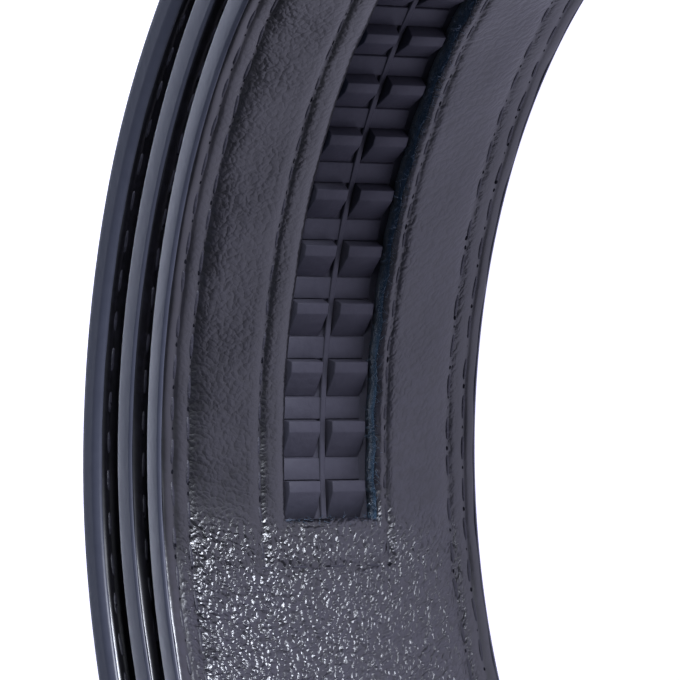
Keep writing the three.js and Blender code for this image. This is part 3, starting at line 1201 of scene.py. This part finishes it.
def makeBuckle():
    casting = bmesh.new()
    casting.from_mesh(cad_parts["buckle"].data)
    bmesh.ops.remove_doubles(casting, verts=casting.verts, dist=0.002 * mm)
    bmesh.ops.dissolve_limit(casting, angle_limit=math.radians(1), verts=casting.verts,
                             edges=casting.edges)
    limit = math.radians(buckle["sharp"])
    sharp = [e for e in casting.edges if e.is_manifold and e.calc_face_angle() > limit]
    bmesh.ops.bevel(casting, geom=sharp, offset=buckle["edgeRound"] * mm, offset_type="OFFSET",
                    segments=3, profile=0.5, affect="EDGES", clamp_overlap=True)
    bmesh.ops.recalc_face_normals(casting, faces=casting.faces)
    mesh = bpy.data.meshes.new("buckleCasting")
    casting.to_mesh(mesh)
    casting.free()
    mesh.shade_smooth()
    mesh.set_sharp_from_angle(angle=math.radians(buckle["shadeSharp"]))
    mesh.materials.append(brushedMetal)
    return newObject("buckleCasting", mesh)


bucklePiece = makeBuckle()
print("buckle made")


# Floor: white opal sheet, lit from under it; its glow is dimmer in a patch below the roll's near
# side, a painted shadow of the roll's near wall.
stage = {
    "glow": 1.34,
    "paintedShadowGlow": 0.72,
    "tint": (0.77, 0.76, 1.0),     # cool daylight
    "halfWidth": 4,                # metres, as all lengths here
    "paintedShadowMiddle": (0.0, -0.045),
    "paintedShadowInner": 0.03,
    "paintedShadowOuter": 0.062,
}


def stageScene():
    floor = bpy.data.meshes.new("floor")
    half = stage["halfWidth"]
    floor.from_pydata([(-half, -half, 0), (half, -half, 0), (half, half, 0), (-half, half, 0)],
                      [], [(0, 1, 2, 3)])
    floorPiece = newObject("floor", floor)
    material, tree, shader = newMaterial("opalSheet")
    # the glow falls off in a patch below the roll's near side: a painted shadow on the floor
    reach = addNode(tree, "ShaderNodeVectorMath",
                    {0: objectPlace(tree), 1: (*stage["paintedShadowMiddle"], 0)}, operation="DISTANCE")
    glow = mapped(tree, reach.outputs["Value"], (stage["paintedShadowInner"], stage["paintedShadowOuter"]),
                  (stage["paintedShadowGlow"], stage["glow"]), interpolation_type="SMOOTHSTEP")
    tree.links.new(glow, shader.inputs["Emission Strength"])
    shader.inputs["Base Color"].default_value = linear("#e8e8ea")
    shader.inputs["Roughness"].default_value = 0.8
    shader.inputs["Emission Color"].default_value = (*stage["tint"], 1)
    floor.materials.append(material)


# Camera: at the photograph's place to the roll's far side, turned on its side.
cameraView = {
    "towardAxis": 63.04,   # degrees between the view and the roll's axis
    "roll": 0.3,
    "focalPixels": 3467,
    "pixelsWide": 679,
    "sensorWidth": 36,
    "rimMiddle": (7.146, 10.321, 285.113),   # upper rim's middle, right, down and ahead
}


def makeCamera():
    tilt, roll = math.radians(cameraView["towardAxis"]), math.radians(cameraView["roll"])
    axis = Vector((math.sin(tilt) * math.cos(roll), math.sin(tilt) * math.sin(roll),
                   math.cos(tilt)))
    up = Vector((0, -1, 0))
    rowX = (up - axis * up.dot(axis)).normalized()
    rowY = axis.cross(rowX) if axis.cross(rowX).z > 0 else rowX.cross(axis)
    toRow = Matrix((rowX, rowY, -axis))
    right, down, ahead = (toRow @ Vector(v) for v in ((1, 0, 0), (0, 1, 0), (0, 0, 1)))
    rim = Vector((rollMiddle.x, rollMiddle.y, strap["width"]))
    place = rim - toRow @ Vector(cameraView["rimMiddle"])
    data = bpy.data.cameras.new("camera")
    data.sensor_fit = "HORIZONTAL"
    data.sensor_width = cameraView["sensorWidth"]
    data.lens = cameraView["focalPixels"] / cameraView["pixelsWide"] * cameraView["sensorWidth"]
    data.clip_start = 0.01
    camera = bpy.data.objects.new("camera", data)
    bpy.context.scene.collection.objects.link(camera)
    turned = Matrix((right, -down, -ahead)).transposed()
    camera.matrix_world = Matrix.Translation(place * mm) @ turned.to_4x4()
    bpy.context.scene.camera = camera


# Lights: degrees round from +X and up from the floor, metres away, and size in metres.
# The back and the horizon panel are what the painted rims and the buckle mirror.
lights = {
    "side": {"round": -135, "up": 30, "away": 1.1, "size": (0.6, 0.6), "power": 0.3,
             "tint": (0.8, 0.85, 1)},
    "back": {"round": 90, "up": 15, "away": 1.1, "size": (1.3, 0.6), "power": 1.5,
             "tint": (0.7, 0.76, 1)},
    "horizon": {"round": 90, "up": 8, "away": 1.0, "size": (1.3, 0.12), "power": 3,
                "tint": (0.8, 0.84, 1)},
}
lightsAim = (0, 0.05, 0.015)
# A small lamp aimed at the creased end of the strap, where the grain glints.
lamp = {"round": -53, "up": 13, "away": 1.05, "aim": (-0.006, 0.0565, 0.019), "size": 0.26,
        "power": 20, "tint": (0.84, 0.88, 1)}
room = {"strength": 0.1, "tint": (0.6, 0.72, 1)}


def placeLight(data, aim, place):
    data.energy = place["power"]
    data.color = place["tint"]
    turn, up = math.radians(place["round"]), math.radians(place["up"])
    toward = Vector((math.cos(up) * math.cos(turn), math.cos(up) * math.sin(turn), math.sin(up)))
    light = bpy.data.objects.new(data.name, data)
    light.location = Vector(aim) + toward * place["away"]
    light.rotation_euler = toward.to_track_quat("Z", "Y").to_euler()
    bpy.context.scene.collection.objects.link(light)


def makeLights():
    world = bpy.data.worlds.new("studio")
    world.use_nodes = True
    background = world.node_tree.nodes["Background"]
    background.inputs["Color"].default_value = (*room["tint"], 1)
    background.inputs["Strength"].default_value = room["strength"]
    bpy.context.scene.world = world
    for name, softbox in lights.items():
        data = bpy.data.lights.new(name + "Softbox", "AREA")
        data.shape = "RECTANGLE"
        data.size, data.size_y = softbox["size"]
        placeLight(data, lightsAim, softbox)
    data = bpy.data.lights.new("glintLamp", "AREA")
    data.shape = "DISK"
    data.size = lamp["size"]
    placeLight(data, lamp["aim"], lamp)
    bpy.context.scene.view_settings.view_transform = "Standard"


stageScene()
makeCamera()
makeLights()

for piece in [liningPiece, facePiece, edgePiece, teethPiece, basePiece, bucklePiece,
              fibrePiece, *stitchPieces]:
    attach(piece, "root")
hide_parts("buckle")
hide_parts("strap_lining")
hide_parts("strap_face")
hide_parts("ratchet_track")
